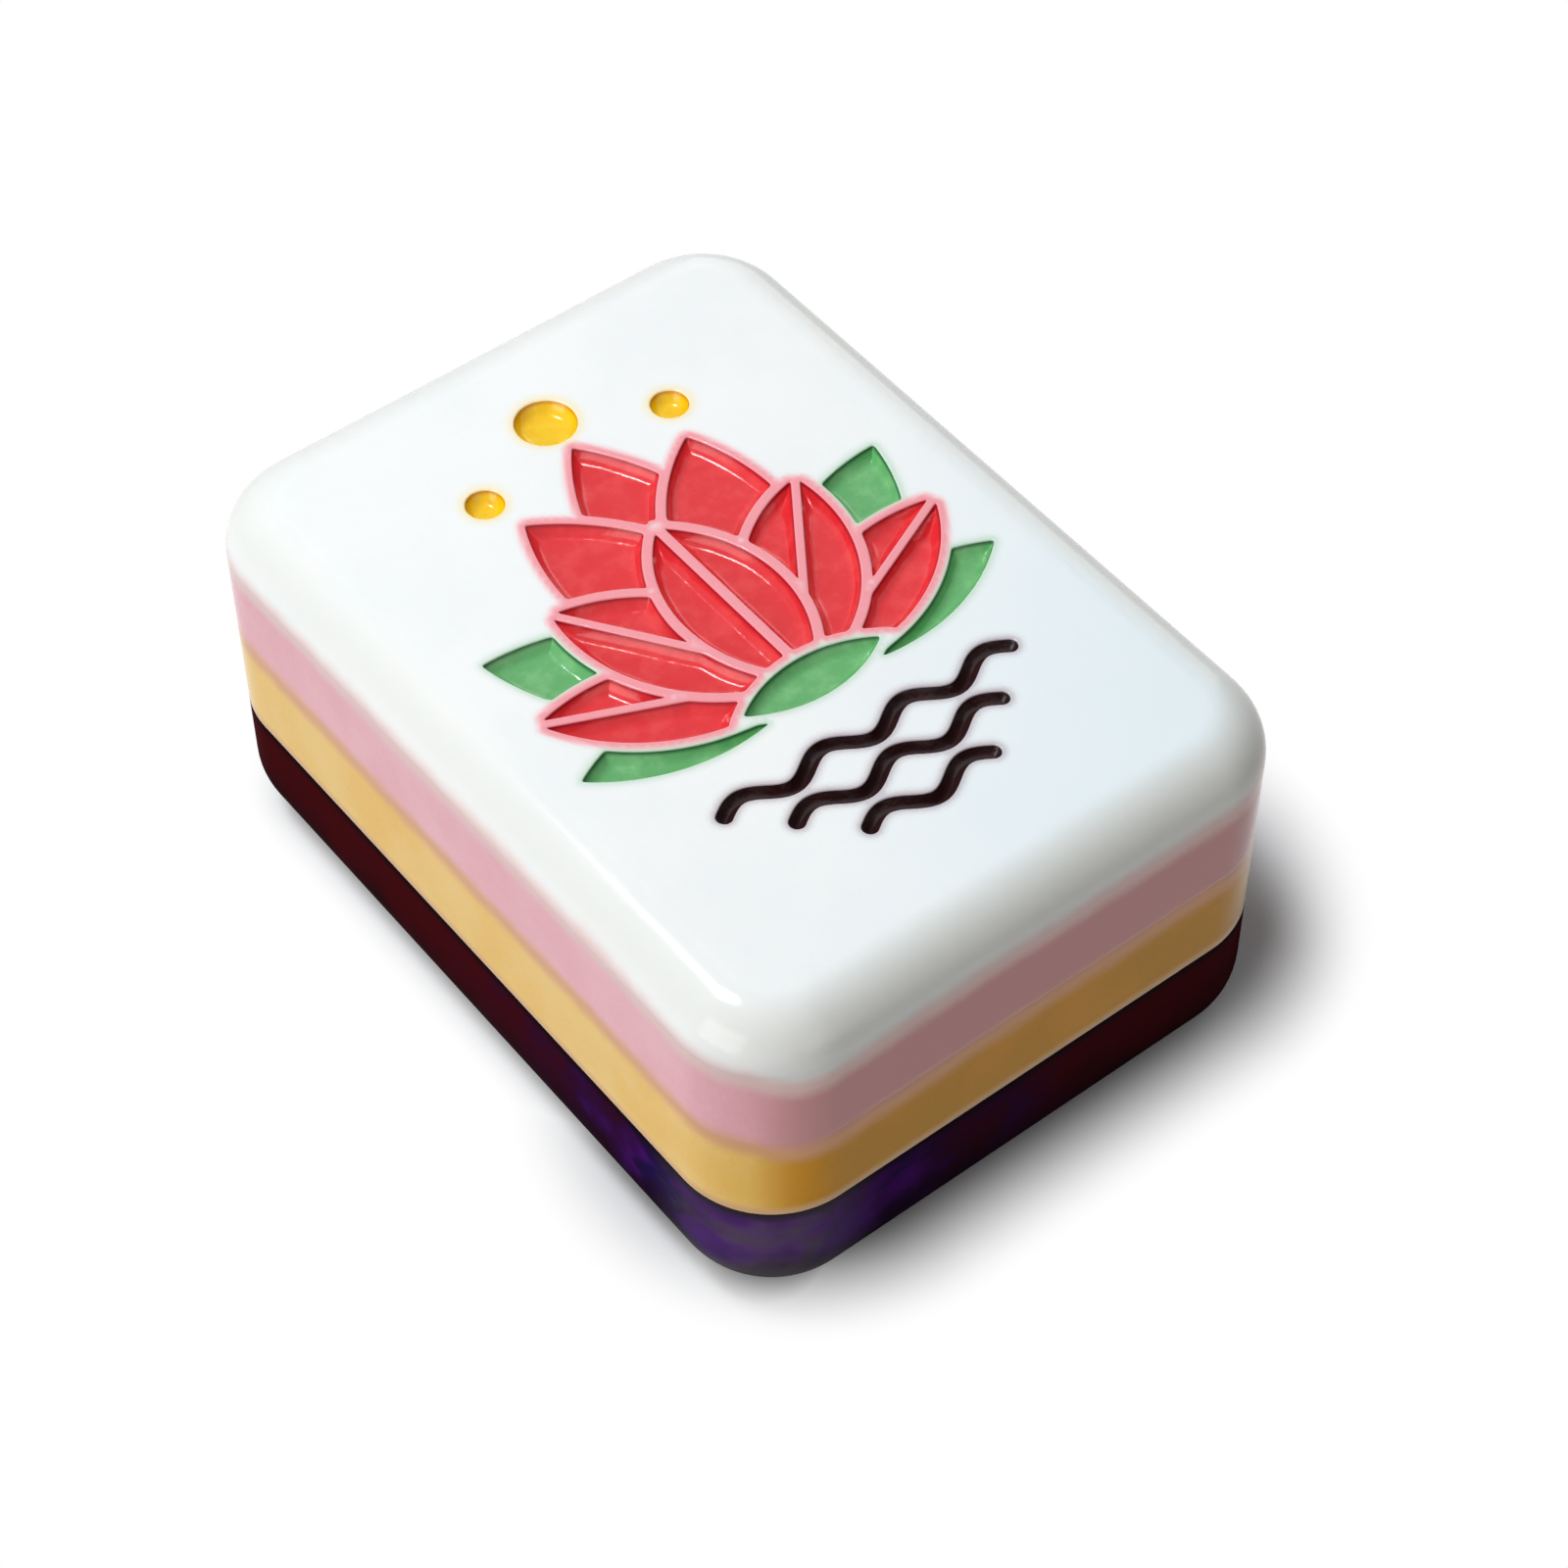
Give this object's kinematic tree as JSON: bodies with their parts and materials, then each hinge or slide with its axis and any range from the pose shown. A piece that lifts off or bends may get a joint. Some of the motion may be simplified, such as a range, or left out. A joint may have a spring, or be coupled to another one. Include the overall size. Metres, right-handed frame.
{
  "type": "mahjong tile",
  "caption": "Layered mahjong tile: white engraved face with enamel-filled lotus blossom and ripples over pink, amber and clear purple layers.",
  "frame": {"origin": "middle of the back face, the face the tile lies on", "axes": "+X across the tile to the right of the picture, +Y along the tile towards the head of the picture, +Z out of the engraved face"},
  "size_m": [0.022, 0.03, 0.014],
  "materials": {
    "white_face": "polished cast acrylic, slightly milky",
    "pink_layer": "polished cast acrylic, milky pink",
    "amber_layer": "polished cast acrylic, milky amber",
    "purple_back": "polished clear acrylic, dyed dark purple",
    "cement": "clear acrylic cement that takes the colour of both layers",
    "red_enamel": "glossy enamel",
    "green_enamel": "glossy enamel",
    "yellow_enamel": "glossy enamel",
    "brown_enamel": "glossy enamel, nearly black"
  },
  "bodies": {
    "root": {"back_layer": "purple_back", "back_bond": "cement", "amber_layer": "amber_layer", "middle_bond": "cement", "pink_layer": "pink_layer", "face_bond": "cement", "face_layer": "white_face", "front_petal_left": "red_enamel", "front_petal_right": "red_enamel", "beside_petal_left_upper": "red_enamel", "beside_petal_left_lower": "red_enamel", "beside_petal_right_upper": "red_enamel", "beside_petal_right_lower": "red_enamel", "outer_petal_left_upper": "red_enamel", "outer_petal_left_lower": "red_enamel", "outer_petal_right_upper": "red_enamel", "outer_petal_right_lower": "red_enamel", "tall_petal_left": "red_enamel", "tall_petal_right": "red_enamel", "crown_petal": "red_enamel", "sepal_left": "green_enamel", "sepal_right": "green_enamel", "low_sepal_left": "green_enamel", "low_sepal_right": "green_enamel", "cup": "green_enamel", "pearl_top": "yellow_enamel", "pearl_left": "yellow_enamel", "pearl_right": "yellow_enamel", "ripple_top": "brown_enamel", "ripple_middle": "brown_enamel", "ripple_bottom": "brown_enamel"}
  },
  "joints": []
}
